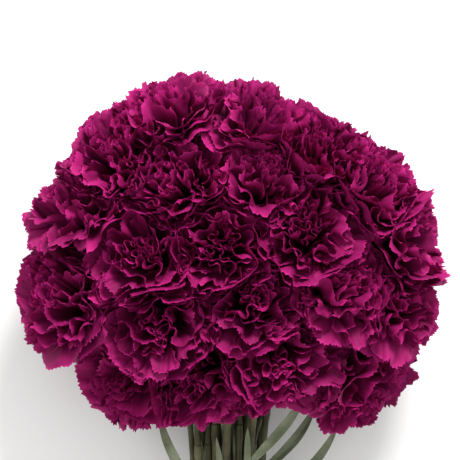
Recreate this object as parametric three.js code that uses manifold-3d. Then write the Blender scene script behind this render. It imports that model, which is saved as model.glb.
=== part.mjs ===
// A bunch of purple carnations, lying on a table. Millimetres, +Z up.
// The flower heads point along +Y, the cut ends along -Y, and the table is the plane z = 0.
// Each flower is two solids: its bloom, and its green stem with the calyx that the petals grow out of.
import * as THREE from "three";
import { mergeVertices } from "three/addons/utils/BufferGeometryUtils.js";
import Module from "manifold-3d";

// ---- Driving dimensions -------------------------------------------------------------------
const HEAD_WIDTH = 264; // across the bloom centres, along X
const HEAD_LENGTH = 206; // across the bloom centres, along Y
const HEAD_RISE = 72; // from the middle of the head up to the highest bloom centre
const HEAD_DROP = 29; // from the middle of the head down to the blooms that lie on the table
const HEAD_FULLNESS = 2.2; // 2 is an ellipsoid, and more is a fuller, squarer cushion
const HEAD_HEIGHT = 57; // the middle of the head above the table
const FOCUS_BACK = 45; // the point that every bloom faces away from, behind the middle of the head
const FOCUS_DROP = 30; // and below it
const FACE_UP = 30; // by how much more the upper blooms turn to the sky

const BLOOM_RADIUS = 34; // an open bloom, to the rim of its guard petals
const BLOOM_DEPTH = 41; // from the mouth of the calyx to the crown
const BLOOM_SIDES = 16;
const RUFFLE = 0.07; // how far the petals' rim waves in and out, as a share of its radius
const PRESSED_GAP = 0.4; // left between two blooms that press on each other
const BLOOM_REACH = 1.2; // blooms further apart than this, as a share of their radii, don't press

const CALYX_LENGTH = 27;
const CALYX_RADIUS = 6.6;
const STEM_RADIUS = 2.5; // at the cut end
const STEM_TIP_RADIUS = 0.76 * STEM_RADIUS; // under the calyx
const STEM_SIDES = 6;
const NODE_RADIUS = STEM_RADIUS + 0.5; // a swollen joint, where a pair of leaves grew
const NODE_LENGTH = 9;
const NODE_PITCH = 95; // from joint to joint
const NODE_FIRST = 30; // the lowest joint, from the cut end
const NODE_STAGGER = 14; // from one stem's lowest joint to the next stem's
const STATION_PITCH = 28; // between the rings of a stem's surface

const STEM_PITCH = 2 * STEM_RADIUS + 0.55; // between stems packed side by side under the band
const BAND_PLACE = -262; // the rubber band, measured from the middle of the head
const CUT_PLACE = -372; // the cut ends
const NECK_PLACE = -128; // where the bunch begins to open into the head
const NECK_SPREAD = 1.5; // how much wider than at the band the bundle is at the neck
const CUT_SPREAD = 1.22; // and at the cut ends
const NECK_HEIGHT = 38; // the bundle's middle above the table, at the neck
const BAND_WIDTH = 4.5;
const BAND_THICKNESS = 1.6;
const CLEARANCE = 0.35; // between a piece and the one that it touches

const LEAF_WIDTH = 7.5;
const LEAF_THICKNESS = 1.1;

// Where each bloom is: how far across the head (-1 to 1, to the right) and along it (-1 to 1,
// away from the stems), and its size against a full bloom. First the blooms that face up.
const UPPER_BLOOMS = [
  [-0.26, 0.83, 1.00], [0.12, 0.77, 0.97], [0.48, 0.60, 0.96], [-0.56, 0.58, 1.02],
  [-0.22, 0.44, 1.00], [0.17, 0.41, 0.94], [0.72, 0.37, 1.04], [-0.75, 0.18, 1.05],
  [-0.41, -0.03, 1.00], [-0.03, 0.05, 0.92], [0.42, 0.15, 1.00], [0.84, 0.09, 1.03],
  [-0.82, -0.37, 1.06], [-0.34, -0.43, 1.00], [0.12, -0.34, 0.96], [0.54, -0.24, 0.96],
  [0.84, -0.35, 0.95], [-0.49, -0.84, 0.98], [-0.08, -0.82, 1.06], [0.27, -0.66, 1.00],
  [0.65, -0.84, 1.12],
];
// The blooms that the bunch lies on.
const LOWER_BLOOMS = [
  [-0.80, -0.02, 1.08], [-0.51, 0.62, 1.05], [0.10, 0.82, 1.10], [0.70, 0.31, 1.10],
  [0.78, -0.55, 1.05], [-0.62, -0.66, 1.05],
];
// Blades that stand off the bundle: how far along the bunch they root, which way round it
// (0 is towards +X and 90 is up), the point that they reach for, and how far they bow out.
const LEAVES = [
  { place: -142, turn: 38, reach: new THREE.Vector3(51, -97, 66), bow: 4 },
  { place: -149, turn: 14, reach: new THREE.Vector3(59, -105, 52), bow: 5 },
  { place: -178, turn: 24, reach: new THREE.Vector3(74, -118, 56), bow: 7 },
  { place: -166, turn: 150, reach: new THREE.Vector3(-46, -108, 58), bow: 5 },
  { place: -292, turn: 62, reach: new THREE.Vector3(38, -222, 58), bow: 5 },
];

const wasm = await Module();
wasm.setup();
const UP = new THREE.Vector3(0, 0, 1);
const ALONG = new THREE.Vector3(0, 1, 0);
const FOCUS = new THREE.Vector3(0, -FOCUS_BACK, HEAD_HEIGHT - FOCUS_DROP);

// ---- Solids and meshes --------------------------------------------------------------------

// A closed surface through rings of points, with a fan over each end. The rings join into a
// loop, with no ends, if looped is true.
function skin(rings, looped = false) {
  const sides = rings[0].length;
  const points = rings.flat();
  const faces = [];
  const spans = looped ? rings.length : rings.length - 1;
  for (let ring = 0; ring < spans; ring++) {
    const next = (ring + 1) % rings.length;
    for (let side = 0; side < sides; side++) {
      const a = ring * sides + side;
      const b = ring * sides + ((side + 1) % sides);
      const c = next * sides + side;
      const d = next * sides + ((side + 1) % sides);
      faces.push(a, b, d, a, d, c);
    }
  }
  if (!looped) {
    const first = points.length;
    for (const ring of [rings[0], rings.at(-1)]) {
      const middle = new THREE.Vector3();
      ring.forEach((p) => middle.addScaledVector(p, 1 / sides));
      points.push(middle);
    }
    const last = (rings.length - 1) * sides;
    for (let side = 0; side < sides; side++) {
      const next = (side + 1) % sides;
      faces.push(first, next, side, first + 1, last + side, last + next);
    }
  }
  const geometry = new THREE.BufferGeometry().setFromPoints(points);
  geometry.setIndex(faces);
  return facingOut(geometry);
}

// Turns every face round if the surface is inside out.
function facingOut(geometry) {
  const { index } = geometry;
  const position = geometry.getAttribute("position");
  const corner = (i) => new THREE.Vector3().fromBufferAttribute(position, index.getX(i));
  let volume = 0;
  for (let i = 0; i < index.count; i += 3) {
    volume += corner(i).dot(corner(i + 1).cross(corner(i + 2)));
  }
  if (volume > 0) return geometry;
  const turned = Array.from(index.array).reverse();
  return geometry.setIndex(turned);
}

function solidOf(geometry) {
  const bare = geometry.clone();
  bare.deleteAttribute("normal");
  bare.deleteAttribute("uv");
  const merged = mergeVertices(bare, 1e-4);
  return new wasm.Manifold(
    new wasm.Mesh({
      numProp: 3,
      vertProperties: merged.attributes.position.array,
      triVerts: new Uint32Array(merged.index.array),
    }),
  );
}

function geometryOf(solid) {
  const { vertProperties, triVerts } = solid.getMesh();
  const geometry = new THREE.BufferGeometry();
  geometry.setAttribute("position", new THREE.BufferAttribute(vertProperties, 3));
  geometry.setIndex(new THREE.BufferAttribute(triVerts, 1));
  geometry.computeVertexNormals();
  return geometry;
}

// The largest part of a solid that is left once others have taken the room they need.
function clearOf(solid, rooms) {
  let left = solid;
  for (const room of rooms) {
    if (left.intersect(room).volume() > 0) left = left.subtract(room);
  }
  return left.decompose().sort((a, b) => b.volume() - a.volume())[0];
}

// ---- The flowers' places ------------------------------------------------------------------

// The height of the cushion of bloom centres over the middle of the head.
function cushion(across, along, rise) {
  const used = Math.abs(across) ** HEAD_FULLNESS + Math.abs(along) ** HEAD_FULLNESS;
  const lowest = 0.05; // keeps the outermost blooms a little above the head's widest level
  return rise * Math.max(lowest, 1 - used) ** (1 / HEAD_FULLNESS);
}

function flowerAt([across, along, size], rise) {
  const height = HEAD_HEIGHT + (rise > 0 ? cushion(across, along, rise) : rise);
  const centre = new THREE.Vector3((across * HEAD_WIDTH) / 2, (along * HEAD_LENGTH) / 2, height);
  const facing = centre.clone().sub(FOCUS).setZ(height - FOCUS.z + (rise > 0 ? FACE_UP : 0)).normalize();
  return { centre, facing, size };
}

function flowers() {
  const upper = UPPER_BLOOMS.map((row) => flowerAt(row, HEAD_RISE));
  const lower = LOWER_BLOOMS.map((row) => flowerAt(row, -HEAD_DROP));
  const all = [...upper, ...lower];
  all.forEach((flower, i) => {
    flower.number = String(i + 1).padStart(2, "0");
    flower.mouth = flower.centre.clone().addScaledVector(flower.facing, -BLOOM_DEPTH / 2);
  });
  return all;
}

// ---- The bundle of stems ------------------------------------------------------------------

// Gives each flower its place in the bundle's section: the flower nearest the bunch's own
// direction in the middle, then full rings of 6, 12 and 18 places round it. In each ring the
// stems stand in the same order round the bundle as their blooms stand round the head.
function packBundle(all) {
  const spread = (f) => Math.hypot(f.centre.x, f.centre.z - FOCUS.z);
  const turn = (f) => Math.atan2(f.centre.z - FOCUS.z, f.centre.x);
  const waiting = [...all].sort((a, b) => spread(a) - spread(b));
  for (let ring = 0; waiting.length; ring++) {
    const members = waiting.splice(0, ring ? 6 * ring : 1).sort((a, b) => turn(a) - turn(b));
    const step = (2 * Math.PI) / members.length;
    const lag = members.reduce((sum, f, i) => sum + turn(f) - i * step, 0) / members.length;
    members.forEach((f, i) => {
      const angle = lag + i * step;
      f.slot = new THREE.Vector2(Math.cos(angle), Math.sin(angle)).multiplyScalar(ring * STEM_PITCH);
    });
  }
}

// How wide the bundle is, against its width at the band.
function bundleSpread(place) {
  if (place < BAND_PLACE) {
    return THREE.MathUtils.mapLinear(place, BAND_PLACE, CUT_PLACE, 1, CUT_SPREAD);
  }
  const opening = THREE.MathUtils.smoothstep(place, BAND_PLACE, NECK_PLACE);
  return THREE.MathUtils.lerp(1, NECK_SPREAD, opening);
}

// The height of the bundle's middle. At the cut ends the lowest stem lies on the table.
function bundleHeight(place, all) {
  const lowest = Math.max(...all.map((f) => -f.slot.y));
  const rest = lowest * CUT_SPREAD + STEM_RADIUS;
  return THREE.MathUtils.mapLinear(place, CUT_PLACE, NECK_PLACE, rest, NECK_HEIGHT);
}

// ---- The stems' routes --------------------------------------------------------------------

const ROUTE_STEPS = 60;
const ROUTE_SPARE = 1.9; // between the surfaces of two stems, where they are eased apart
const EASING_ROUNDS = 260;
const FIRST_SMOOTHING = 0.3; // how far a point of a route moves to the middle of its neighbours

// From the cut end, through the band and the neck, and up behind the bloom into its calyx.
function firstRoute(flower, all) {
  const inBundle = (place) => {
    const spread = bundleSpread(place);
    const height = bundleHeight(place, all);
    return new THREE.Vector3(flower.slot.x * spread, place, height + flower.slot.y * spread);
  };
  const foot = flower.mouth.clone().addScaledVector(flower.facing, -CALYX_LENGTH);
  const neck = inBundle(NECK_PLACE);
  const bend = foot.clone().addScaledVector(flower.facing, -foot.distanceTo(neck) / 3);
  const ease = neck.clone().addScaledVector(ALONG, foot.distanceTo(neck) / 3);
  const middle = bend.lerp(ease, 0.5);
  const band = inBundle(BAND_PLACE);
  const places = [CUT_PLACE, (CUT_PLACE + BAND_PLACE) / 2].map(inBundle);
  places.push(band, inBundle((BAND_PLACE + NECK_PLACE) / 2), neck, middle);
  places.push(foot, foot.clone().lerp(flower.mouth, 0.5), flower.mouth);
  return new THREE.CatmullRomCurve3(places, false, "centripetal").getSpacedPoints(ROUTE_STEPS);
}

// Eases the routes apart wherever two stems, or a stem and a calyx, would touch. The cut ends,
// the stretch under the band and the calyces stay where they are.
function untangle(all) {
  const reach = (flower, i) => {
    const left = (ROUTE_STEPS - i) * (flower.routeLength / ROUTE_STEPS);
    return left < CALYX_LENGTH ? CALYX_RADIUS : STEM_RADIUS;
  };
  const held = (flower, i) =>
    flower.route[i].y < BAND_PLACE + STATION_PITCH || reach(flower, i) === CALYX_RADIUS;
  const beads = all.flatMap((flower, owner) =>
    flower.route.map((at, i) => ({ at, owner, size: reach(flower, i), held: held(flower, i) })),
  );
  for (let round = 0; round < EASING_ROUNDS; round++) {
    // The smoothing fades, so that the last rounds only part the stems.
    const smoothing = FIRST_SMOOTHING * (1 - round / EASING_ROUNDS);
    beads.forEach((a, i) => {
      for (let j = i + 1; j < beads.length; j++) {
        const b = beads[j];
        if (a.owner === b.owner || (a.held && b.held)) continue;
        const wanted = a.size + b.size + ROUTE_SPARE;
        if (Math.abs(a.at.y - b.at.y) > wanted || Math.abs(a.at.x - b.at.x) > wanted) continue;
        const gap = a.at.distanceTo(b.at);
        if (gap >= wanted || gap === 0) continue;
        const push = b.at.clone().sub(a.at).multiplyScalar((wanted - gap) / gap / 2);
        if (!a.held) a.at.addScaledVector(push, b.held ? -1 : -0.5);
        if (!b.held) b.at.addScaledVector(push, a.held ? 1 : 0.5);
      }
    });
    for (const flower of all) {
      const { route } = flower;
      for (let i = 1; i < ROUTE_STEPS; i++) {
        if (held(flower, i)) continue;
        const even = route[i - 1].clone().add(route[i + 1]).multiplyScalar(0.5);
        route[i].lerp(even, smoothing);
      }
    }
  }
}

// Where a flower's stem crosses a place along the bunch.
function crossing(flower, place) {
  const next = flower.route.findIndex((p) => p.y > place);
  const [a, b] = [flower.route[next - 1], flower.route[next]];
  return a.clone().lerp(b, (place - a.y) / (b.y - a.y));
}

// ---- Stems --------------------------------------------------------------------------------

// Sections square to a curve: outline gives each section's points from its own two axes.
function sections(curve, stations, outline, firstSide) {
  const side = firstSide.clone();
  return stations.map((at) => {
    const middle = curve.getPointAt(at);
    const along = curve.getTangentAt(at);
    side.addScaledVector(along, -side.dot(along)).normalize();
    const up = new THREE.Vector3().crossVectors(along, side);
    return outline(at).map(([x, y]) =>
      middle.clone().addScaledVector(side, x).addScaledVector(up, y),
    );
  });
}

function circle(radius, sides) {
  return Array.from({ length: sides }, (_, i) => {
    const angle = (2 * Math.PI * i) / sides;
    return [radius * Math.cos(angle), radius * Math.sin(angle)];
  });
}

// The calyx's radius, from its foot to its open mouth.
const CALYX_SHAPE = [
  [0, STEM_TIP_RADIUS], [0.1, 0.7 * CALYX_RADIUS], [0.3, 0.9 * CALYX_RADIUS],
  [0.7, 0.96 * CALYX_RADIUS], [1, CALYX_RADIUS],
];

// The distances along a stem that get a ring, each with its radius.
function stemStations(flower, length) {
  const bare = length - CALYX_LENGTH;
  const plain = (d) => THREE.MathUtils.mapLinear(d, 0, bare, STEM_RADIUS, STEM_TIP_RADIUS);
  const joints = [];
  const first = NODE_FIRST + (Number(flower.number) % 4) * NODE_STAGGER;
  for (let d = first; d < bare - 2 * NODE_LENGTH; d += NODE_PITCH) joints.push(d);
  const stations = joints.flatMap((d) => {
    const shoulder = NODE_LENGTH / 2;
    return [[d - shoulder, plain(d)], [d, NODE_RADIUS], [d + shoulder, plain(d)]];
  });
  for (let d = 0; d < bare - NODE_LENGTH; d += STATION_PITCH) {
    if (joints.every((joint) => Math.abs(d - joint) > NODE_LENGTH)) stations.push([d, plain(d)]);
  }
  const calyx = CALYX_SHAPE.map(([share, radius]) => [bare + share * CALYX_LENGTH, radius]);
  return [...stations, ...calyx].sort((a, b) => a[0] - b[0]);
}

// The stem and calyx, or the room that they need if grow is more than nothing.
function stemGeometry(flower, grow = 0) {
  const curve = new THREE.CatmullRomCurve3(flower.route.filter((_, i) => i % 2 === 0));
  const length = curve.getLength();
  const stations = stemStations(flower, length);
  const radiusAt = new Map(stations.map(([d, radius]) => [d / length, radius + grow]));
  const outline = (at) => circle(radiusAt.get(at), STEM_SIDES);
  const rings = sections(curve, [...radiusAt.keys()], outline, UP);
  if (grow > 0) rings.push(rings.at(-1).map((p) => p.clone().addScaledVector(flower.facing, grow)));
  return skin(rings);
}

// ---- Blooms -------------------------------------------------------------------------------

// Half of a bloom's section: its radius and height over the calyx, each as a share.
const BLOOM_SHAPE = [
  [0.16, 0], [0.42, 0.08], [0.8, 0.24], [1, 0.46], [0.93, 0.66], [0.72, 0.86], [0.38, 0.98],
];

function bloomGeometry(flower) {
  const turn = new THREE.Quaternion().setFromUnitVectors(UP, flower.facing);
  const phase = Number(flower.number) * 2.4;
  const radius = BLOOM_RADIUS * flower.size;
  const rings = BLOOM_SHAPE.map(([out, rise]) =>
    circle(1, BLOOM_SIDES).map(([x, y], i) => {
      const angle = (2 * Math.PI * i) / BLOOM_SIDES;
      const wave = Math.sin(5 * angle + phase) + 0.6 * Math.sin(7 * angle - 2 * phase + 4 * rise);
      const reach = radius * out * (1 + RUFFLE * wave * out);
      const lift = CLEARANCE + BLOOM_DEPTH * rise * (1 + RUFFLE * Math.cos(3 * angle + phase) * out);
      return new THREE.Vector3(x * reach, y * reach, lift).applyQuaternion(turn).add(flower.mouth);
    }),
  );
  return skin(rings);
}

// The bloom where it lies in the head: flat where it presses on its neighbours and on the
// table, and clear of the green parts that pass it.
function bloomSolid(flower, all, green) {
  let solid = solidOf(bloomGeometry(flower));
  for (const other of all) {
    if (other === flower) continue;
    const away = other.centre.clone().sub(flower.centre);
    const reach = BLOOM_RADIUS * (flower.size + other.size) * BLOOM_REACH;
    if (away.length() > reach) continue;
    const share = flower.size / (flower.size + other.size);
    const middle = flower.centre.clone().addScaledVector(away, share);
    away.normalize();
    const keep = away.clone().negate();
    solid = solid.trimByPlane(keep.toArray(), keep.dot(middle) + PRESSED_GAP / 2);
  }
  solid = solid.trimByPlane(UP.toArray(), 0);
  return clearOf(solid, green);
}

// ---- Leaves -------------------------------------------------------------------------------

// A narrow blade, folded a little along its middle. It grows from the outermost stem on its
// side of the bundle, runs close along it, and then bends out to its tip.
function leafGeometry(leaf, all, grow = 0) {
  const angle = THREE.MathUtils.degToRad(leaf.turn);
  const out = new THREE.Vector3(Math.cos(angle), 0, Math.sin(angle));
  const beside = all.map((flower) => crossing(flower, leaf.place));
  const root = beside.reduce((a, b) => (b.dot(out) > a.dot(out) ? b : a)).clone();
  root.addScaledVector(out, STEM_RADIUS);
  const across = leaf.reach.clone().sub(root).cross(UP).normalize(); // its face is to the sky
  const start = root.clone().lerp(leaf.reach, 0.12).addScaledVector(out, leaf.bow * 0.2);
  const middle = root.clone().lerp(leaf.reach, 0.5).addScaledVector(out, leaf.bow);
  const curve = new THREE.CatmullRomCurve3([root, start, middle, leaf.reach]);
  const width = (at) => LEAF_WIDTH * (0.5 + 2.1 * at) * (1 - at) ** 0.72 + 0.8;
  const steps = 9;
  const stations = Array.from({ length: steps + 1 }, (_, i) => i / steps);
  const outline = (at) => {
    const half = width(at) / 2 + grow;
    const thick = LEAF_THICKNESS / 2 + grow;
    const fold = width(at) * 0.16;
    return [[-half, fold], [0, thick], [half, fold], [0, -thick]];
  };
  return skin(sections(curve, stations, outline, across));
}

// ---- The rubber band ----------------------------------------------------------------------

// The band lies tight round the bundle: its loop is the outline that a string pulled round
// all the stems would take.
function bandGeometry(all) {
  const turns = 40;
  const edges = [BAND_PLACE - BAND_WIDTH / 2, BAND_PLACE + BAND_WIDTH / 2];
  const spots = edges.flatMap((place) => all.map((flower) => crossing(flower, place)));
  const rings = Array.from({ length: turns }, (_, i) => {
    const angle = (2 * Math.PI * i) / turns;
    const out = new THREE.Vector3(Math.cos(angle), 0, Math.sin(angle));
    const outermost = spots.reduce((a, b) => (b.dot(out) > a.dot(out) ? b : a));
    const corner = (depth, side) => {
      const p = outermost.clone().addScaledVector(out, STEM_RADIUS + CLEARANCE + depth);
      return p.setY(BAND_PLACE + side * (BAND_WIDTH / 2));
    };
    return [corner(0, -1), corner(BAND_THICKNESS, -1), corner(BAND_THICKNESS, 1), corner(0, 1)];
  });
  return skin(rings, true);
}

// ---- The bunch ----------------------------------------------------------------------------

const petals = new THREE.MeshStandardMaterial({ color: "#8b1858", roughness: 0.6, metalness: 0 });
const stalk = new THREE.MeshStandardMaterial({ color: "#5d6442", roughness: 0.55, metalness: 0 });
const foliage = new THREE.MeshStandardMaterial({ color: "#747b5f", roughness: 0.6, metalness: 0 });
const rubber = new THREE.MeshStandardMaterial({ color: "#c9a063", roughness: 0.5, metalness: 0 });

const bunch = new THREE.Group();

function add(name, geometry, material) {
  const mesh = new THREE.Mesh(geometry, material);
  mesh.name = name;
  bunch.add(mesh);
}

const all = flowers();
packBundle(all);
for (const flower of all) {
  flower.route = firstRoute(flower, all);
  flower.routeLength = new THREE.CatmullRomCurve3(flower.route).getLength();
}
untangle(all);

const stemRoom = all.map((flower) => solidOf(stemGeometry(flower, CLEARANCE)));
const leafRoom = LEAVES.map((leaf) => solidOf(leafGeometry(leaf, all, CLEARANCE)));
for (const flower of all) {
  const bloom = bloomSolid(flower, all, [...stemRoom, ...leafRoom]);
  add(`bloom_${flower.number}`, geometryOf(bloom), petals);
  add(`stem_${flower.number}`, stemGeometry(flower), stalk);
}
LEAVES.forEach((leaf, i) => {
  const blade = clearOf(solidOf(leafGeometry(leaf, all)), stemRoom);
  add(`leaf_${i + 1}`, geometryOf(blade), foliage);
});
add("rubber_band", bandGeometry(all), rubber);

// The origin is the middle of the bunch's footprint on the table.
const box = new THREE.Box3().setFromObject(bunch, true);
const centre = box.getCenter(new THREE.Vector3());
bunch.position.set(-centre.x, -centre.y, -box.min.z);

export default bunch;
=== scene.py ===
# %% [markdown]
# # A bunch of purple carnations
# The bunch lies on a table, with its flower heads along +Y and its cut ends along -Y. The packed
# model is loaded first. It gives every flower's place, so each petal, stem and leaf is grown
# where its plain solid lies, and nothing has to be fitted by eye.

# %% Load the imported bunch
import math
import bpy
import numpy as np
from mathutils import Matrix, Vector


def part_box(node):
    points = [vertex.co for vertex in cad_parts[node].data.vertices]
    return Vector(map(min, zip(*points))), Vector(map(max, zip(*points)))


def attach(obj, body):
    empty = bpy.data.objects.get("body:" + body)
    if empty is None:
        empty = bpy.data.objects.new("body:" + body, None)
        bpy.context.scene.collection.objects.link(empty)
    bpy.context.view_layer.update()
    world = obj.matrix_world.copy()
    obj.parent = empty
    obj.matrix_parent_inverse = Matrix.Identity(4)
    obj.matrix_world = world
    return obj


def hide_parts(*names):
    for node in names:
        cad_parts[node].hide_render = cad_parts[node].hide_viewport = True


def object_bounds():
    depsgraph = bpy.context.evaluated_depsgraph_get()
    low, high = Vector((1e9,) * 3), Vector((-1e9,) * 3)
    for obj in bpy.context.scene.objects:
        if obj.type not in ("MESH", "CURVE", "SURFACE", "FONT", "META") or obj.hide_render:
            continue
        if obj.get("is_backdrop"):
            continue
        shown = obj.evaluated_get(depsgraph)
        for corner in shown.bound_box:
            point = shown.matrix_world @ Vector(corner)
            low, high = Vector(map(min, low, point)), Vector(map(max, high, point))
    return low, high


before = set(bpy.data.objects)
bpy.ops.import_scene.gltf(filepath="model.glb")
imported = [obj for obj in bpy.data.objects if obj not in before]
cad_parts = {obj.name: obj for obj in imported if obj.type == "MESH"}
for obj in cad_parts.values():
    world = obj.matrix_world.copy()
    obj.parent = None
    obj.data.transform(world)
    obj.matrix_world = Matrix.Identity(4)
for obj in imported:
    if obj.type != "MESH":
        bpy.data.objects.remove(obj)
packed_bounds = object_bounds()
numbers = [name[-2:] for name in sorted(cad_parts) if name.startswith("bloom_")]
print(len(numbers), "flowers in the packed bunch")

# %% [markdown]
# Colours are easiest to choose as sRGB hex, but the shaders reckon in linear light. One function
# turns one into the other for every finish below.

# %% Turn a hex colour into linear light
def colour(hex_code):
    shares = [int(hex_code[i : i + 2], 16) / 255 for i in (1, 3, 5)]
    linear = [c / 12.92 if c <= 0.04045 else ((c + 0.055) / 1.055) ** 2.4 for c in shares]
    return (*linear, 1.0)


print("a petal's magenta in linear light:", [round(c, 3) for c in colour("#AE1E6D")[:3]])

# %% [markdown]
# Each finish is a small tree of shader nodes. One function adds a node with its settings, and
# either links an input to another node's output or gives it a plain value.

# %% Add one shader node
def node(tree, kind, inputs=None, **settings):
    made = tree.nodes.new(kind)
    for name, value in settings.items():
        setattr(made, name, value)
    for name, value in (inputs or {}).items():
        if isinstance(value, bpy.types.NodeSocket):
            tree.links.new(value, made.inputs[name])
        else:
            made.inputs[name].default_value = value
    return made


def new_finish(name):
    material = bpy.data.materials.new(name)
    material.use_nodes = True
    print("finish:", name)
    return material, material.node_tree, material.node_tree.nodes["Principled BSDF"]


print("plain finishes in the packed model:", len(bpy.data.materials))

# %% [markdown]
# A blend between two colours by a factor is needed in every finish, with the factor stretched
# from the part of its range that matters. A ramp does both in one node. A mix lays one colour
# over another, or multiplies the two, as a dye on a dye does.

# %% Blend and mix colours
def blend(tree, factor, low, high, span=(0.0, 1.0)):
    ramp = node(tree, "ShaderNodeValToRGB", {"Fac": factor})
    for stop, place, shade in zip(ramp.color_ramp.elements, span, (low, high)):
        stop.position = place
        stop.color = colour(shade)
    return ramp.outputs["Color"]


def mix(tree, how, factor, a, b):
    inputs = {"Fac": factor, "Color1": a, "Color2": b}
    return node(tree, "ShaderNodeMixRGB", inputs, blend_type=how).outputs["Color"]


print("middle grey #808080 is only", round(colour("#808080")[0], 3), "in linear light")

# %% [markdown]
# Patterns are known by their size on the real plant, such as how far apart two streaks in the
# wax are. A noise texture wants to know instead how many cells a metre holds.

# %% Turn a pattern's size into a texture's scale
def per_metre(size):
    """How many cells of a pattern, each size mm across, lie in a metre."""
    return round(1000 / size)


print("a pattern of 2 mm repeats", per_metre(2), "times in a metre")

# %% [markdown]
# Fine veins fan out from a petal's claw to its toothed edge. They could be laid by the object's
# own axes, but then they would run straight through the folds. Here they follow the petal's own
# map, which runs across and along each petal, so they bend with every fold. Real veins are half a
# millimetre apart, which is too fine to show, so they are drawn coarser.

# %% Petal velvet: the veins
PETAL_EDGE = 46.0  # mm along the toothed edge of a usual petal
VEIN_SPACING = 1.75  # mm, about three times the real distance
VEIN_BREAKS = 1.6  # how often a vein changes on its way from claw to edge

petal_velvet, tree, shader = new_finish("magenta_petal_velvet")
petal_map = node(tree, "ShaderNodeUVMap", uv_map="petal").outputs["UV"]
along_petal = node(tree, "ShaderNodeSeparateXYZ", {"Vector": petal_map}).outputs["Y"]
veins_across = round(PETAL_EDGE / VEIN_SPACING)
stretched = node(
    tree, "ShaderNodeMapping", {"Vector": petal_map, "Scale": (veins_across, VEIN_BREAKS, 1.0)}
).outputs["Vector"]
veins = node(
    tree, "ShaderNodeTexNoise", {"Vector": stretched, "Scale": 1.0, "Detail": 3.0, "Roughness": 0.6}
).outputs["Fac"]
print(veins_across, "veins across a petal")

# %% [markdown]
# The petal's colour soaks up green light almost wholly, so that one petal that lights another only
# makes the magenta deeper. Each petal has a tone of its own. Painted shade darkens the colour
# towards the claw, deep in the bloom where shade falls, and a painted highlight brightens the last
# stretch of each rim, as if its thin edge caught the light. Its surface is a velvet of tiny cones:
# matte, with hardly any gloss, which is what makes the colour look rich.

# %% Petal velvet: the colours and the surface
RIM_HIGHLIGHT_SHARE = (0.5, 0.5, 0.5, 1.0)  # how much of the painted highlight shows on the rim

body = blend(tree, veins, "#901859", "#AE1E6D", (0.3, 0.72))
tone = node(tree, "ShaderNodeAttribute", attribute_name="tone").outputs["Fac"]
body = mix(tree, "MULTIPLY", 1.0, body, blend(tree, tone, "#C8C0C8", "#FFFFFF"))
# Painted shade: the petal's colour darkens towards the claw, deep in the bloom where shade falls.
throat_painted_shade = blend(tree, along_petal, "#4A384E", "#FFFFFF", (0.2, 0.97))
body = mix(tree, "MULTIPLY", 0.85, body, throat_painted_shade)
# Painted highlight: the last stretch of each rim turns a brighter magenta, as if its thin edge
# caught the light.
rim = blend(tree, along_petal, "#000000", "#FFFFFF", (0.965, 0.99))
body = mix(tree, "MIX", mix(tree, "MULTIPLY", 1.0, rim, RIM_HIGHLIGHT_SHARE), body, colour("#C02480"))
tree.links.new(body, shader.inputs["Base Color"])
shader.inputs["Roughness"].default_value = 0.58
shader.inputs["Specular IOR Level"].default_value = 0.08
relief = node(tree, "ShaderNodeBump", {"Height": veins, "Strength": 0.35, "Distance": 0.0004})
tree.links.new(relief.outputs["Normal"], shader.inputs["Normal"])
print(len(tree.nodes), "nodes in the petal's finish")

# %% [markdown]
# Stems, calyces and leaves are green under a grey waxy bloom, like a plum's. The wax lies
# unevenly: paler in patches some 18 mm wide, and worn away in fine lengthwise streaks where stems
# have rubbed. It is also why their shine is broad and dull. Stems and leaves differ only in
# colour and in the size of the streaks, so one function makes both.

# %% Waxy greens: one way to make them
PATCH = 18.2  # mm


def waxy_green(name, deep, pale, streak, streak_size):
    """deep, pale and streak are hex colours, and streak_size is its width and length in mm."""
    material, tree, shader = new_finish(name)
    place = node(tree, "ShaderNodeTexCoord").outputs["Object"]
    patches = node(
        tree, "ShaderNodeTexNoise", {"Vector": place, "Scale": per_metre(PATCH), "Detail": 4.0}
    )
    width, length = (per_metre(size) for size in streak_size)
    drawn = node(tree, "ShaderNodeMapping", {"Vector": place, "Scale": (width, length, width)})
    streaks = node(
        tree, "ShaderNodeTexNoise", {"Vector": drawn.outputs["Vector"], "Scale": 1.0, "Detail": 3.0}
    ).outputs["Fac"]
    wax = blend(tree, patches.outputs["Fac"], deep, pale, (0.36, 0.66))
    rubbed = blend(tree, streaks, "#000000", "#909090", (0.48, 0.7))
    base = mix(tree, "MIX", rubbed, wax, colour(streak))
    tone = node(tree, "ShaderNodeAttribute", attribute_name="tone").outputs["Fac"]
    base = mix(tree, "MULTIPLY", 1.0, base, blend(tree, tone, "#8E8A80", "#FFFFFF"))
    tree.links.new(base, shader.inputs["Base Color"])
    shader.inputs["Roughness"].default_value = 0.5
    shader.inputs["Specular IOR Level"].default_value = 0.35
    relief = node(tree, "ShaderNodeBump", {"Height": streaks, "Strength": 0.3, "Distance": 0.0003})
    tree.links.new(relief.outputs["Normal"], shader.inputs["Normal"])
    return material


print(per_metre(PATCH), "patches of wax in a metre")

# %% [markdown]
# The stems are the darker and browner of the two, since they have been handled and stood in
# water. The leaves have kept more of their wax, so they are greyer.

# %% Waxy greens: stem and leaf
STEM_STREAK = (1.111, 16.7)  # mm wide and long
LEAF_STREAK = (0.909, 11.1)
stem_wax = waxy_green("waxy_green_stem", "#403E20", "#6E6E4C", "#302C10", STEM_STREAK)
leaf_wax = waxy_green("glaucous_leaf", "#666E50", "#959C82", "#50583A", LEAF_STREAK)
print("a stem's streaks are", STEM_STREAK[0], "mm wide, a leaf's", LEAF_STREAK[0], "mm")

# %% [markdown]
# A cut end shows pale, wet pith: a honeycomb of cells. The real cells are a tenth of a millimetre
# wide, so they are drawn four or five times as coarse to be seen at all.

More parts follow.
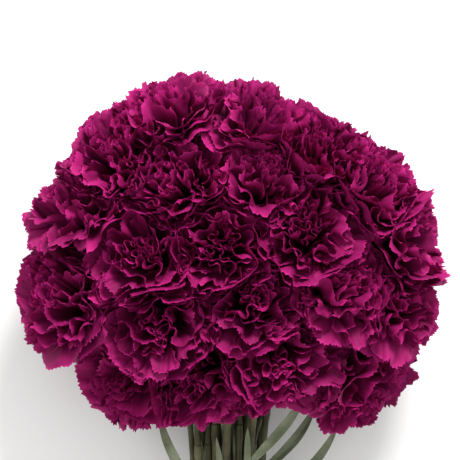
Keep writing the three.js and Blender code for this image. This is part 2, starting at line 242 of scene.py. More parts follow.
# %% Cut pith
PITH_CELL = 0.4545  # mm
cut_pith, tree, shader = new_finish("cut_stem_pith")
place = node(tree, "ShaderNodeTexCoord").outputs["Object"]
cells = node(
    tree, "ShaderNodeTexVoronoi", {"Vector": place, "Scale": per_metre(PITH_CELL)}
).outputs["Distance"]
tree.links.new(blend(tree, cells, "#C6CC9C", "#8E9A62", (0.1, 0.8)), shader.inputs["Base Color"])
shader.inputs["Roughness"].default_value = 0.7
print(per_metre(PITH_CELL), "pith cells in a metre")

# %% [markdown]
# Nothing on a plant is quite straight. A gentle random curve, eased from one chance height to the
# next, bends every edge and blade below. Its seed is always given, so each run is the same.

# %% A gentle random curve
def gentle(rng, s, knots):
    """A smooth random curve between -1 and 1, for s from 0 to 1."""
    heights = rng.uniform(-1, 1, knots + 3)
    place = s * knots
    low = np.floor(place).astype(int).clip(0, knots - 1)
    share = place - low
    share = share * share * (3 - 2 * share)
    return heights[low] * (1 - share) + heights[low + 1] * share


print("a curve:", gentle(np.random.default_rng(1), np.linspace(0, 1, 5), 3).round(2))

# %% [markdown]
# Every petal and leaf is a grid of points that bends in space. To give it a thickness, or to
# crease it, each point has to know which way its sheet faces there.

# %% Which way a sheet faces
def unit(vectors):
    return vectors / (np.linalg.norm(vectors, axis=-1, keepdims=True) + 1e-9)


def facing_of(sheet):
    return unit(np.cross(np.gradient(sheet, axis=1), np.gradient(sheet, axis=0)))


rows, columns = np.meshgrid(np.arange(4.0), np.arange(3.0), indexing="ij")
sample = np.stack([rows, columns, 0 * rows], -1)
print("a flat sheet with rows along x faces", facing_of(sample)[0, 0].round(3))

# %% [markdown]
# A sheet becomes a thin closed solid: a front and a back that meet all round in a sharp edge, as a
# petal's do. A modifier could thicken it, but it would make a blunt wall along the edge, and the
# petal's own map would be lost on it.

# %% Make a thin solid from a sheet
def thin_solid(sheet, thickness):
    """Corners, four-sided faces, and each face corner's place in the grid and its side."""
    rows, columns, _ = sheet.shape
    half = np.full((rows, columns, 1), thickness / 2)
    half[[0, -1]] = 0
    half[:, [0, -1]] = 0
    offset = facing_of(sheet) * half
    inside = np.zeros((rows, columns), bool)
    inside[1:-1, 1:-1] = True
    grid = np.arange(rows * columns).reshape(rows, columns)
    back = grid.copy()
    back[inside] = rows * columns + np.arange(inside.sum())
    corners = np.concatenate([(sheet + offset).reshape(-1, 3), (sheet - offset)[inside]])

    def quads(index, order):
        four = [index[:-1, :-1], index[:-1, 1:], index[1:, 1:], index[1:, :-1]]
        return np.stack([four[i] for i in order], -1).reshape(-1, 4)

    towards, away = (0, 1, 2, 3), (0, 3, 2, 1)
    faces = np.concatenate([quads(grid, towards), quads(back, away)])
    places = np.concatenate([quads(grid, towards), quads(grid, away)])
    side = np.repeat([0, 1], len(faces) // 2)  # 0 on the front and 1 on the back
    return corners, faces, places, side


print("a sheet of 12 points has", len(thin_solid(sample, 0.2)[0]), "corners as a solid")

# %% [markdown]
# Meshes are filled in one go from arrays, in millimetres, since the petals have about a million
# corners between them. Edges sharper than a right angle and a bit stay crisp, so that the thin rim
# of a petal doesn't shade as if it were round.

# %% Make a mesh piece from arrays
CRISP_ANGLE = math.radians(110)


def mesh_piece(name, corners, faces, finishes, maps=None, tones=None, finish_of=None):
    """faces is a list of blocks of faces, each block an array with one face a row."""
    mesh = bpy.data.meshes.new(name)
    sizes = np.concatenate([np.full(len(block), block.shape[1], np.int32) for block in faces])
    flat = np.concatenate([block.ravel() for block in faces]).astype(np.int32)
    mesh.vertices.add(len(corners))
    mesh.vertices.foreach_set("co", (np.asarray(corners) / 1000).astype(np.float32).ravel())
    mesh.loops.add(len(flat))
    mesh.loops.foreach_set("vertex_index", flat)
    mesh.polygons.add(len(sizes))
    mesh.polygons.foreach_set("loop_start", (np.cumsum(sizes) - sizes).astype(np.int32))
    mesh.update(calc_edges=True)
    mesh.polygons.foreach_set("use_smooth", np.ones(len(sizes), bool))
    for map_name, coordinates in (maps or {}).items():
        layer = mesh.uv_layers.new(name=map_name)
        layer.data.foreach_set("uv", coordinates.astype(np.float32).ravel())
    if tones is not None:
        layer = mesh.attributes.new("tone", "FLOAT", "POINT")
        layer.data.foreach_set("value", tones.astype(np.float32))
    for finish in finishes:
        mesh.materials.append(finish)
    if finish_of is not None:
        mesh.polygons.foreach_set("material_index", finish_of.astype(np.int32))
    mesh.set_sharp_from_angle(angle=CRISP_ANGLE)
    mesh.update()
    piece = bpy.data.objects.new(name, mesh)
    bpy.context.scene.collection.objects.link(piece)
    return piece


print("edges stay crisp past", round(math.degrees(CRISP_ANGLE)), "degrees")

# %% [markdown]
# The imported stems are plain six-sided tubes. Walking over their faces from the cut end finds one
# ring of corners after another, which gives each stem's middle line and its thickness.

# %% Read a packed stem ring by ring
def points_of(node_name):
    """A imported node's corners, in metres."""
    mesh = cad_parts[node_name].data
    corners = np.zeros(len(mesh.vertices) * 3, np.float32)
    mesh.vertices.foreach_get("co", corners)
    return corners.reshape(-1, 3)


def rings_of(node_name):
    """The middle and the radius of each ring, from the cut end to the calyx's mouth."""
    points, same = np.unique(
        np.round(points_of(node_name) * 1000, 2), axis=0, return_inverse=True
    )
    same = same.ravel()
    touching = {i: set() for i in range(len(points))}
    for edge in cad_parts[node_name].data.edges:
        a, b = (int(same[v]) for v in edge.vertices)
        touching[a].add(b)
        touching[b].add(a)
    lowest = np.argsort(points[:, 1])[:7]  # the cut end's six corners and its middle
    middle = points[lowest].mean(0)
    start = int(lowest[np.argmin(np.linalg.norm(points[lowest] - middle, axis=1))])
    seen, ring, rings = {start}, {start}, []
    while ring:
        ring = set().union(*(touching[i] for i in ring)) - seen
        seen |= ring
        if len(ring) > 2:
            rings.append(points[sorted(ring)])
    centres = np.array([r.mean(0) for r in rings])
    radii = np.array([np.linalg.norm(r - c, axis=1).mean() for r, c in zip(rings, centres)])
    return centres, radii


print("rings on the first stem:", len(rings_of(f"stem_{numbers[0]}")[1]))

# %% [markdown]
# The last two rings show which way the calyx's mouth faces, and so which way the flower looks. The
# packed bloom above it, measured from that mouth, gives how deep the flower is and how far its
# petals may reach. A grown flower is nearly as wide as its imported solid, within the sizes that
# open carnations have.

# %% Measure each flower
OPEN_SHARE = 0.96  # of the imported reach
SMALLEST, LARGEST = 31.5, 38.0  # mm, radius of an open bloom

flowers = {}
for number in numbers:
    centres, radii = rings_of(f"stem_{number}")
    mouth, facing = centres[-1], unit(centres[-1] - centres[-2])
    body = points_of(f"bloom_{number}").astype(float) * 1000 - mouth
    height = body @ facing
    reach = np.linalg.norm(body - height[:, None] * facing, axis=1).max()
    flowers[number] = {
        "centres": centres, "radii": radii, "mouth": mouth, "facing": facing,
        "depth": height.max(), "heart": mouth + facing * height.max() / 2,
        "radius": float(np.clip(OPEN_SHARE * reach, SMALLEST, LARGEST)),
    }
print("mean bloom radius", round(float(np.mean([f["radius"] for f in flowers.values()])), 1), "mm")

# %% [markdown]
# Neighbouring flowers press on each other, and six of them lie on the table. Cutting petals off at
# the border would leave flat sides. Petals are soft, so a soft wall slows them down: the further a
# petal would reach through it, the more it is held back, and part of that turns into a push
# forwards. A wall stands a little past the middle, so that petals of both sides lace together.

# %% Hold petals back at soft walls
GIVE = 12.0  # mm before a neighbour's wall where petals start to bend away
LACING = 10.0  # mm by which petals of two neighbours reach in between each other
NEIGHBOUR = 1.25  # flowers touch if they are nearer than this many times both their radii


def held_back(points, out, limit, give, facing, push):
    over = np.clip(points @ out - (limit - give), 0, None)
    lost = over - give * (1 - np.exp(-over / give))
    return points - lost[..., None] * out + push * lost[..., None] * facing


def walls_of(number):
    """Each wall's outward direction, and how far out it stands."""
    own = flowers[number]
    walls = []
    for other_number, other in flowers.items():
        away = other["heart"] - own["heart"]
        distance = np.linalg.norm(away)
        both = own["radius"] + other["radius"]
        if other_number == number or distance > NEIGHBOUR * both:
            continue
        out = away / distance
        walls.append((out, own["heart"] @ out + own["radius"] / both * distance + LACING))
    return walls


print("neighbours of each flower:", sorted(len(walls_of(number)) for number in numbers))

# %% [markdown]
# Petals grow into the gaps between flowers: those that point at a neighbour stretch, and those
# that point out of the bunch don't, which keeps a notch between two flowers in the outline. The
# flowers on the table have more room around them, so they open wider.

# %% Stretch petals towards the neighbours
LOW_HEART = 50.0  # mm above the table, and a flower with its middle below this lies on it
UPPER_STRETCH = (0.42, 0.5, 0.35)  # the most, the nearness where it starts, and over what span
LOWER_STRETCH = (0.65, 0.1, 0.5)


def stretched_to(sheet, walls, flower):
    spoke = sheet - flower["heart"]
    flat = spoke - (spoke @ flower["facing"])[..., None] * flower["facing"]
    nearness = np.max([unit(flat) @ out for out, _ in walls], axis=0)
    lies_low = flower["heart"][2] < LOW_HEART
    most, start, span = LOWER_STRETCH if lies_low else UPPER_STRETCH
    grow = most * np.clip((nearness - start) / span, 0, 1)
    return sheet + grow[..., None] * flat


print(sum(f["heart"][2] < LOW_HEART for f in flowers.values()), "flowers lie on the table")

# %% [markdown]
# A carnation petal is a fan: a narrow claw that stands in the calyx, and a broad limb whose toothed
# edge is far longer than the place it has. So the edge swings from side to side, like a river in
# a flat valley, and the whole limb is pleated with it. Each kind of petal in a bloom has its own
# measures. They are for a usual bloom and grow with its radius.

# %% Petal kinds and their measures
ROWS = np.array([0, 0.16, 0.32, 0.46, 0.59, 0.70, 0.79, 0.87, 0.935, 1.0])  # claw to edge
STEPS = 48  # along the toothed edge
SHARES = np.linspace(0, 1, STEPS + 1)
USUAL_RADIUS = 34  # mm

# Lengths are in mm. fold is how far the edge swings, in radians, wave the edge's length from
# swing to swing, turn how far the petal strays from lying across its spoke, sink how deep its
# edge hides under the dome, lip how far the edge rolls over, and spread, rise and lift say how
# soon the petal leaves the middle.
PETAL_KINDS = {
    "guard": dict(length=(46, 56), fold=(0.3, 0.8), wave=(14, 24), turn=0.12, sink=(-0.03, 0.06),
                  lip=1.6, spread=0.5, rise=0.8, lift=6, crumple=0.9),
    "collar": dict(length=(44, 54), fold=(0.7, 1.4), wave=(12, 22), turn=0.3, sink=(-0.02, 0.10),
                   lip=1.3, spread=0.62, rise=0.62, lift=2, crumple=1.0),
    "fan": dict(length=(40, 50), fold=(0.3, 0.85), wave=(15, 28), turn=0.5, sink=(-0.04, 0.10),
                lip=1.6, spread=0.56, rise=0.62, lift=1, crumple=1.3),
    "inner": dict(length=(40, 54), fold=(0.6, 1.45), wave=(14, 26), turn=0.8, sink=(-0.02, 0.18),
                  lip=0.9, spread=0.74, rise=0.5, lift=0, crumple=0.9),
    "heart": dict(length=(28, 38), fold=(1.1, 1.8), wave=(9, 14), turn=2.5, sink=(0.0, 0.16),
                  lip=0.6, spread=0.7, rise=0.5, lift=0, crumple=0.6),
}
print(len(PETAL_KINDS), "kinds of petal, each a grid of", len(ROWS), "by", STEPS + 1, "points")

# %% [markdown]
# First the petal's edge alone, laid flat. Drawn as a sine of distance against distance it would
# only wave. Where the sine sets its direction instead, it swings out and doubles back like a
# river, and that is how a pleated edge looks from above.

# %% Lay a petal's edge like a river
def turned(line, angle):
    c, s = math.cos(angle), math.sin(angle)
    return line @ np.array([[c, s], [-s, c]])


def river(rng, length, fold, wave):
    """The edge laid flat, running along x on the whole, with its middle at the origin."""
    along = np.cumsum(1 + 0.5 * gentle(rng, SHARES, 5))
    along = (along - along[0]) / (along[-1] - along[0])
    swing = fold * (1 + 0.5 * gentle(rng, SHARES, 4))
    phase = rng.uniform(0, 2 * math.pi)
    angle = swing * np.sin(2 * math.pi * along * length / wave + phase)
    angle += 0.4 * gentle(rng, SHARES, 3)
    line = np.cumsum(np.stack([np.cos(angle), np.sin(angle)], 1), axis=0) * length / STEPS
    line -= line.mean(0)
    way = line[-1] - line[0]
    return turned(line, -math.atan2(way[1], way[0]))


flat_edge = river(np.random.default_rng(1), PETAL_EDGE, 1.4, 14)
print("a", PETAL_EDGE, "mm edge takes up", round(float(np.ptp(flat_edge[:, 0]))), "mm when pleated")

# %% [markdown]
# The edges of all petals together make the bloom's dome, which is rounded above and flatter
# below. Each flat edge is set on it at its own place, and each of its points is then drawn in or
# out along its line from the dome's middle, some way under the surface. A petal's two corners
# hang back, since they are shorter than its middle.

# %% Set the edge on the bloom's dome
DOME_MIDDLE = 0.44  # of the bloom's depth above the calyx's mouth
DOME_ABOVE = 0.56  # of the bloom's depth, the dome's height above its middle
DOME_BELOW = 0.36
CORNERS_BACK = 0.22


def edge_on_dome(rng, kind, theta, phi, radius, depth):
    """The petal's edge at compass angle theta, and angle phi from the bloom's top."""
    scale = radius / USUAL_RADIUS
    height = DOME_ABOVE * depth if phi < math.pi / 2 else DOME_BELOW * depth
    level, rising = math.sin(phi), math.cos(phi)
    out = np.array([level * math.cos(theta), level * math.sin(theta), rising])
    place = out * np.array([radius, radius, height])
    east = np.array([-math.sin(theta), math.cos(theta), 0])
    north = np.cross(unit(place), east)
    length, fold, wave = (rng.uniform(*kind[word]) for word in ("length", "fold", "wave"))
    line = turned(river(rng, length * scale, fold, wave * scale), rng.normal(0, kind["turn"]))
    spots = place + line[:, :1] * east + line[:, 1:] * north
    heights = np.where(spots[:, 2] > 0, DOME_ABOVE, DOME_BELOW) * depth
    size = np.sqrt((spots[:, 0] ** 2 + spots[:, 1] ** 2) / radius**2 + (spots[:, 2] / heights) ** 2)
    corners = CORNERS_BACK * np.abs(2 * SHARES - 1) ** 4
    depths = 1 - rng.uniform(*kind["sink"]) - 0.06 * gentle(rng, SHARES, 4) - corners
    return np.array([0, 0, DOME_MIDDLE * depth]) + spots * (depths / size)[:, None]


print("the dome is widest at", DOME_MIDDLE, "of a bloom's depth")

# %% [markdown]
# A carnation's petals have a pinked edge, cut in fine uneven teeth. Every second point of the edge
# moves in and the others out, by chance amounts, and about one in ten is a deeper cut. Bump in the
# finish could only shade such teeth, and they show best in outline, so they are real shape.

# %% Cut the teeth
TOOTH_IN, TOOTH_OUT = (0.2, 1.4), (-0.1, 0.4)  # mm
DEEP_CUT, DEEP_SHARE = 1.3, 0.1  # mm, and how many teeth have one


def toothed(rng, sheet):
    way = unit(sheet[-1] - sheet[-2])
    odd = np.arange(STEPS + 1) % 2 == 1
    inward = -rng.uniform(*TOOTH_IN, STEPS + 1)
    teeth = np.where(odd, inward, rng.uniform(*TOOTH_OUT, STEPS + 1))
    teeth -= DEEP_CUT * (rng.random(STEPS + 1) < DEEP_SHARE)
    teeth += 0.8 * gentle(rng, SHARES, 9)
    sideways = np.gradient(sheet[-1], axis=0) * rng.uniform(-0.3, 0.3, (STEPS + 1, 1))
    sheet[-1] += way * teeth[:, None] + sideways
    return sheet


print("teeth on a petal:", STEPS // 2)

# %% [markdown]
# The petal is drawn from its claw to that edge: each strand is a curve with one bend, which leaves
# the claw upwards and the edge outwards, so the pleats fade towards the claw as on the real
# petal. Sharp creases across the sheet give the crumpled look, and the last stretch rolls over in
# a lip, strongly on one petal in five.

# %% Grow one petal
CURLED_SHARE = 0.2  # of the petals roll their edge over strongly
CLAW_WIDTH = 3.0  # mm
CREASES = 6
CREASE_MIDDLE = 1.27  # the mean of 2 |sin|, so that creases don't move a petal as a whole


def creased(rng, rows, shares):
    crumple = np.zeros_like(rows)
    for _ in range(CREASES):
        a, b, phase = rng.uniform(1.5, 7), rng.uniform(0.5, 3), rng.uniform(0, 2 * math.pi)
        crease = CREASE_MIDDLE - 2 * np.abs(np.sin(math.pi * (a * shares + b * rows) + phase))
        crumple += rng.uniform(0.25, 0.7) * min(1, 4 / a) * crease
    return crumple


def petal(rng, kind_name, theta, phi, radius, depth, swirl):
    kind = PETAL_KINDS[kind_name]
    edge = edge_on_dome(rng, kind, theta, phi, radius, depth)
    back = theta - swirl
    root = np.array([math.cos(back), math.sin(back), 0]) * rng.uniform(1.0, 4.0) - (0, 0, 1.0)
    across = np.array([-math.sin(back), math.cos(back), 0]) * CLAW_WIDTH
    claw = root + across * (SHARES[:, None] - 0.5)
    spread = kind["spread"] + rng.uniform(-0.14, 0.1)
    rise = kind["rise"] + rng.uniform(-0.1, 0.14)
    lift = kind["lift"] * radius / USUAL_RADIUS
    bend = claw + (edge - claw) * np.array([spread, spread, rise]) + (0, 0, lift)
    v = ROWS[:, None, None]
    sheet = (1 - v) ** 2 * claw + 2 * v * (1 - v) * bend + v**2 * edge
    rows, shares = np.meshgrid(ROWS, SHARES, indexing="ij")
    crumple = creased(rng, rows, shares)
    curl = 3.0 if rng.random() < CURLED_SHARE else 1.0
    roll = kind["lip"] * curl * (gentle(rng, SHARES, 7) + rng.uniform(-0.5, 0.5))
    near_edge = np.clip((rows - 0.6) / 0.4, 0, 1) ** 2
    shift = kind["crumple"] * crumple * rows**2 + roll * near_edge
    return toothed(rng, sheet + facing_of(sheet) * shift[..., None])


trial = petal(np.random.default_rng(1), "guard", 0.0, 1.6, USUAL_RADIUS, 50.0, 0.0)
print("a guard petal spans", np.ptp(trial.reshape(-1, 3), axis=0).round().astype(int), "mm")

# %% [markdown]
# An open bloom has two rings of broad guard petals, a collar of half-folded ones, and a crowd of
# tightly pleated ones that fills the dome. The crowd is set out by the golden angle, which leaves
# no gaps and no rows. A curled heart closes the top.

# %% Plan a bloom
GOLDEN_ANGLE = math.radians(137.508)
FAN_SHARE = 0.5  # of the outer crowd stay broad and open
CROWD = 19
CROWD_TOP, CROWD_FOOT = math.cos(math.radians(14)), math.cos(math.radians(60))


def ring_of(rng, kind, count, start, polar, stray):
    """Petals all round, polar being the angles from the top, in degrees, that they lie between."""
    for i in range(count):
        theta = start + i * (2 * math.pi / count) + rng.normal(0, stray)
        yield kind, theta, math.radians(rng.uniform(*polar))


def plan_of(rng):
    """Each petal's kind, compass angle, and angle from the bloom's top."""
    start = rng.uniform(0, 2 * math.pi)
    yield from ring_of(rng, "guard", 6, start, (96, 110), 0.12)
    yield from ring_of(rng, "guard", 6, start + 0.5, (80, 94), 0.15)
    yield from ring_of(rng, "collar", 7, start + 0.3, (60, 78), 0.2)
    for i in range(CROWD):
        polar = math.acos(CROWD_TOP - (CROWD_TOP - CROWD_FOOT) * (i + 0.5) / CROWD)
        kind = "fan" if i > 5 and rng.random() < FAN_SHARE else "inner"
        yield kind, start + i * GOLDEN_ANGLE + rng.normal(0, 0.2), polar
    yield from ring_of(rng, "heart", 7, start, (2, 15), 0.3)


print("petals on a bloom:", len(list(plan_of(np.random.default_rng(0)))))

# %% [markdown]
# A petal is grown in its bloom's own axes. Once it stands in the bunch it is stretched towards the
# neighbours and pressed back by them, each petal by a different amount, so that no border between
# two flowers runs straight. Those at the foot settle on the table.

# %% Press a petal into the bunch
STRAY = 4.5  # mm by which single petals cross a wall more or less than the rest
RISING = 0.6  # mm that a petal rises for each mm that it is held back
TABLE_GIVE = 3.0  # mm
TABLE_GAP = 0.25


def axes_of(facing):
    side = unit(np.cross(facing, (0.31, 0.2, 0.93)))
    return np.array([side, np.cross(facing, side), facing])


def pressed(rng, sheet, walls, flower):
    sheet = stretched_to(sheet, walls, flower)
    for out, limit in walls:
        limit = limit + rng.uniform(-STRAY, STRAY) + STRAY * gentle(rng, SHARES, 5)
        sheet = held_back(sheet, out, limit, GIVE, flower["facing"], RISING)
    down = np.array([0, 0, -1.0])
    return held_back(sheet, down, -TABLE_GAP, TABLE_GIVE, flower["facing"], 0)


print("petals stop", TABLE_GAP, "mm above the table")

# %% [markdown]
# Each petal carries two maps. The veins use one that runs across and along every petal, shifted
# for each so that no two have the same veins. The other gives each petal's front and back a cell
# of their own in one square, so that a baked picture could hold the whole flower.

# %% Map the petals
CELLS = 10  # along each side of the square
CELL_MARGIN = 0.04


def petal_maps(i, places, side):
    row, column = places // (STEPS + 1), places % (STEPS + 1)
    across, along = column / STEPS, ROWS[row]
    cell = 2 * i + side[:, None]
    even = np.stack([across, row / (len(ROWS) - 1)], -1)
    grid = np.stack([cell % CELLS, cell // CELLS], -1)
    on_square = (grid + CELL_MARGIN + (1 - 2 * CELL_MARGIN) * even) / CELLS
    return np.stack([across + i, along], -1).reshape(-1, 2), on_square.reshape(-1, 2)


print("the square has room for", CELLS**2 // 2, "petals")

# %% [markdown]
# All petals of a bloom are joined in one piece, since a flower is picked as one. They stay thin
# closed solids of their own. Each bloom leans a little off its stem and has its own swirl, so that
# no two look alike.

# %% Fill the blooms with petals
PETAL_THICKNESS = 0.25  # mm
LEAN = 0.16  # how far a bloom may lean from its stem's direction, as a sideways share


def bloom_piece(number):
    flower = flowers[number]
    rng = np.random.default_rng(1000 + int(number))
    swirl = rng.choice([-1, 1]) * rng.uniform(0.1, 0.5)
    walls = walls_of(number)
    axes = axes_of(unit(flower["facing"] + LEAN * rng.normal(size=3)))
    all_corners, all_faces, vein_map, bake_map, tones = [], [], [], [], []
    count = 0
    for i, (kind, theta, phi) in enumerate(plan_of(rng)):
        twist = {"guard": 0.0, "collar": 0.5 * swirl}.get(kind, swirl)
        sheet = petal(rng, kind, theta, phi, flower["radius"], flower["depth"], twist)
        sheet = pressed(rng, flower["mouth"] + sheet @ axes, walls, flower)
        corners, faces, places, side = thin_solid(sheet, PETAL_THICKNESS)
        for maps, new in zip((vein_map, bake_map), petal_maps(i, places, side)):
            maps.append(new)
        all_corners.append(corners)
        all_faces.append(faces + count)
        tones.append(np.full(len(corners), rng.random()))
        count += len(corners)
    maps = {"petal": np.concatenate(vein_map), "OFBake": np.concatenate(bake_map)}
    piece = mesh_piece(f"bloom_petals_{number}", np.concatenate(all_corners), all_faces,
                       [petal_velvet], maps, np.concatenate(tones))
    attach(piece, "root")
    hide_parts(f"bloom_{number}")
    return count


petal_corners = 0
for number in numbers:
    petal_corners += bloom_piece(number)
print(petal_corners, "corners in all the petals")

# %% [markdown]
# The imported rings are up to 28 mm apart. A curve that passes through them all, with the same
# slope on both sides of each, makes one smooth line of them. A spline in Blender would do the
# same, but here the distance along it is wanted too, to place joints and leaves by.

# %% A smooth line through points
def through(points, count):
    """A smooth curve through points, at count evenly spaced places, with each one's distance."""
    gaps = np.linalg.norm(np.diff(points, axis=0), axis=1)
    at = np.concatenate([[0], np.cumsum(gaps)])
    slopes = np.gradient(points, at, axis=0)
    where = np.linspace(0, at[-1], count)
    k = np.clip(np.searchsorted(at, where, side="right") - 1, 0, len(gaps) - 1)
    h = gaps[k][:, None]
    t = ((where - at[k]) / gaps[k])[:, None]
    curve = (2 * t**3 - 3 * t**2 + 1) * points[k] + (t**3 - 2 * t**2 + t) * h * slopes[k]
    curve += (3 * t**2 - 2 * t**3) * points[k + 1] + (t**3 - t**2) * h * slopes[k + 1]
    return curve, where


print("the first stem is", round(float(through(flowers["01"]["centres"], 2)[1][-1])), "mm long")

# %% [markdown]
# A tube is a row of rings round such a line, joined by a skin. Its rings must not spin on the way,
# or the skin would twist, so each takes its directions from the one before it.

# %% Rings and skins for tubes
SIDES = 20


def frames_along(line):
    """Two directions square to the line at each of its points, turning as little as they can."""
    ways = unit(np.gradient(line, axis=0))
    sides, side = [], np.array((0.0, 0.0, 1.0))
    for way in ways:
        side = unit(side - (side @ way) * way)
        sides.append(side)
    sides = np.array(sides)
    return sides, np.cross(ways, sides)


def circle(line, sides, ups, radii):
    angle = np.arange(SIDES) * 2 * math.pi / SIDES
    radii = np.broadcast_to(np.asarray(radii, float).reshape(len(line), -1), (len(line), SIDES))
    out = np.cos(angle)[:, None] * sides[:, None] + np.sin(angle)[:, None] * ups[:, None]
    return line[:, None] + radii[..., None] * out


def skin(rings, looped=False):
    """Corners, and blocks of faces: the wall, then a fan over each end unless looped."""
    count, sides, _ = rings.shape
    index = np.arange(count * sides).reshape(count, sides)
    low, high = (index, np.roll(index, -1, axis=0)) if looped else (index[:-1], index[1:])
    right = [np.roll(ring, -1, axis=1) for ring in (low, high)]
    wall = np.stack([low, right[0], right[1], high], -1).reshape(-1, 4)
    if looped:
        return rings.reshape(-1, 3), [wall]
    corners = np.concatenate([rings.reshape(-1, 3), [rings[0].mean(0), rings[-1].mean(0)]])
    foot = np.stack([np.full(sides, count * sides), np.roll(index[0], -1), index[0]], -1)
    top = np.stack([np.full(sides, count * sides + 1), index[-1], np.roll(index[-1], -1)], -1)
    return corners, [wall, foot, top]


print("tubes have", SIDES, "sides")

# %% [markdown]
# A carnation's stem has swollen joints, where a pair of leaves once clasped it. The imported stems
# are thicker at one ring for each joint, so that is how they are found. Each becomes a soft
# swelling, long below and short above, and a papery sheath stands off the stem just past it. The
# cut end is a flat face of pith with a finish of its own.

# %% Draw a stem
CALYX_LENGTH = 27.0  # mm
STEM_RINGS = 150
JOINT_STEP = 0.3  # mm by which a packed joint stands out from the rings beside it
JOINT_SWELL = 0.8  # mm
SWELL_BELOW, SWELL_ABOVE = 5.0, 2.6  # mm, how far a swelling fades out
SHEATH_RINGS = 7
SHEATH_LENGTH = 7.0  # mm
SHEATH_WALL = 0.35


def joints_of(flower):
    """How far up the stem each joint is, in mm."""
    gaps = np.linalg.norm(np.diff(flower["centres"], axis=0), axis=1)
    at, radii = np.concatenate([[0], np.cumsum(gaps)]), flower["radii"]
    thick = (radii[1:-1] > radii[:-2] + JOINT_STEP) & (radii[1:-1] > radii[2:] + JOINT_STEP)
    return [d for d in at[1:-1][thick] if d < at[-1] - 1.5 * CALYX_LENGTH]


def stem_parts(flower):
    """The tube and its sheaths, each as rings; the tube ends inside the calyx's foot."""
    line, where = through(flower["centres"], STEM_RINGS)
    sides, ups = frames_along(line)
    bare = where[-1] - CALYX_LENGTH
    tip = flower["radii"][-5]  # the last ring below the calyx's own four
    radii = np.interp(where, [0, bare], [flower["radii"][0], tip])
    for joint in joints_of(flower):
        fade = np.where(where < joint, SWELL_BELOW, SWELL_ABOVE)
        radii = radii + JOINT_SWELL * np.exp(-(((where - joint) / fade) ** 2))
    tube = where < bare + 3
    parts = [circle(line[tube], sides[tube], ups[tube], radii[tube])]
    for joint in joints_of(flower):
        steps = np.linspace(joint - 0.5, joint - 0.5 + SHEATH_LENGTH, SHEATH_RINGS)
        spine = np.stack([np.interp(steps, where, line[:, k]) for k in range(3)], 1)
        near = np.searchsorted(where, steps)
        radius = np.interp(steps, where, radii)
        stand_off = SHEATH_WALL * np.linspace(0.2, 1.6, SHEATH_RINGS)
        outer = circle(spine, sides[near], ups[near], radius + stand_off)
        inner = circle(spine, sides[near], ups[near], radius + 0.3 * stand_off)[::-1]
        parts.append(np.concatenate([outer, inner]))
    return parts


print("joints in all:", sum(len(joints_of(flower)) for flower in flowers.values()))

# %% [markdown]
# The calyx is a ribbed green cup with five pointed teeth. It is drawn as a wall with an outside and
# an inside, so that the teeth are thin where they flare off the petals.

# %% Draw a calyx
TOOTH_LENGTH = 5.5  # mm
TOOTH_FLARE = 1.2
CALYX_RINGS = 15
CUP_SIDES = 60
RIBS = 20
CUP_HEIGHTS = [0, 0.06, 0.16, 0.34, 0.7, 1.0, 1.3]  # shares of the calyx's length
CUP_RADII = [0.42, 0.72, 0.88, 0.95, 0.98, 1.03, 1.2]  # shares of its radius


def calyx_part(flower, rng):
    foot = flower["mouth"] - flower["facing"] * CALYX_LENGTH
    side, up, facing = axes_of(flower["facing"])
    angle = np.arange(CUP_SIDES) * 2 * math.pi / CUP_SIDES
    turn = rng.uniform(0, 2 * math.pi)
    sharp = np.abs(((angle * 5 / (2 * math.pi)) % 1) - 0.5) * 2  # 0 at a tooth's tip, 1 between
    rim = CALYX_LENGTH - 2.5 + TOOTH_LENGTH * (1 - sharp) ** 1.3
    share = np.linspace(0, 1, CALYX_RINGS)[:, None]
    height = share * rim
    ribs = 1 + 0.018 * np.cos(angle * RIBS) * np.clip(share * 4, 0, 1)
    reach = np.interp(height / CALYX_LENGTH, CUP_HEIGHTS, CUP_RADII) * flower["radii"][-1] * ribs
    past = np.clip(height - CALYX_LENGTH, 0, None)
    reach = reach + TOOTH_FLARE * past**2 / TOOTH_LENGTH**2
    out = np.cos(angle + turn)[:, None] * side + np.sin(angle + turn)[:, None] * up
    outer = foot + height[..., None] * facing + reach[..., None] * out
    wall = np.clip(0.9 - 0.7 * share, 0.2, None) * np.ones_like(reach)
    inner = foot + height[..., None] * facing + (reach - wall)[..., None] * out
    return np.concatenate([outer, inner[:3:-1]])


print("a calyx has", RIBS, "ribs and 5 teeth of", TOOTH_LENGTH, "mm")

# %% [markdown]
# At the calyx's foot sit two pairs of short pointed scales, pressed against the cup. They are
# sheets like the petals, bent round the cup's own profile.

# %% Draw the scales
SCALES = 4
INNER_SCALE, OUTER_SCALE = 8.0, 9.5  # mm tall


def scale_sheets(flower, rng):
    side, up, facing = axes_of(flower["facing"])
    foot = flower["mouth"] - flower["facing"] * CALYX_LENGTH
    start = rng.uniform(0, 2 * math.pi)
    v, u = np.meshgrid(np.linspace(0, 1, 9), np.linspace(-1, 1, 9), indexing="ij")
    for i in range(SCALES):
        tall = (INNER_SCALE if i % 2 else OUTER_SCALE) * rng.uniform(0.9, 1.1)
        width = 0.95 * (1 - v**1.8) + 0.02
        angle = start + i * math.pi / 2 + u * width
        height = v * tall + 0.4
        reach = np.interp(height / CALYX_LENGTH, CUP_HEIGHTS, CUP_RADII) * flower["radii"][-1]
        reach = reach + 0.45 + 0.8 * v**3 + (0.12 if i % 2 else 0.0)
        out = np.cos(angle)[..., None] * side + np.sin(angle)[..., None] * up
        yield foot + height[..., None] * facing + reach[..., None] * out


print(SCALES, "scales at the foot of a calyx")

# %% [markdown]
# Tube, sheaths, calyx and scales of one flower are joined into one piece, since on the plant they
# are one piece too. Stems differ in tone, and each one's tone drifts along it.

# %% Place the stems
SCALE_THICKNESS = 0.4  # mm


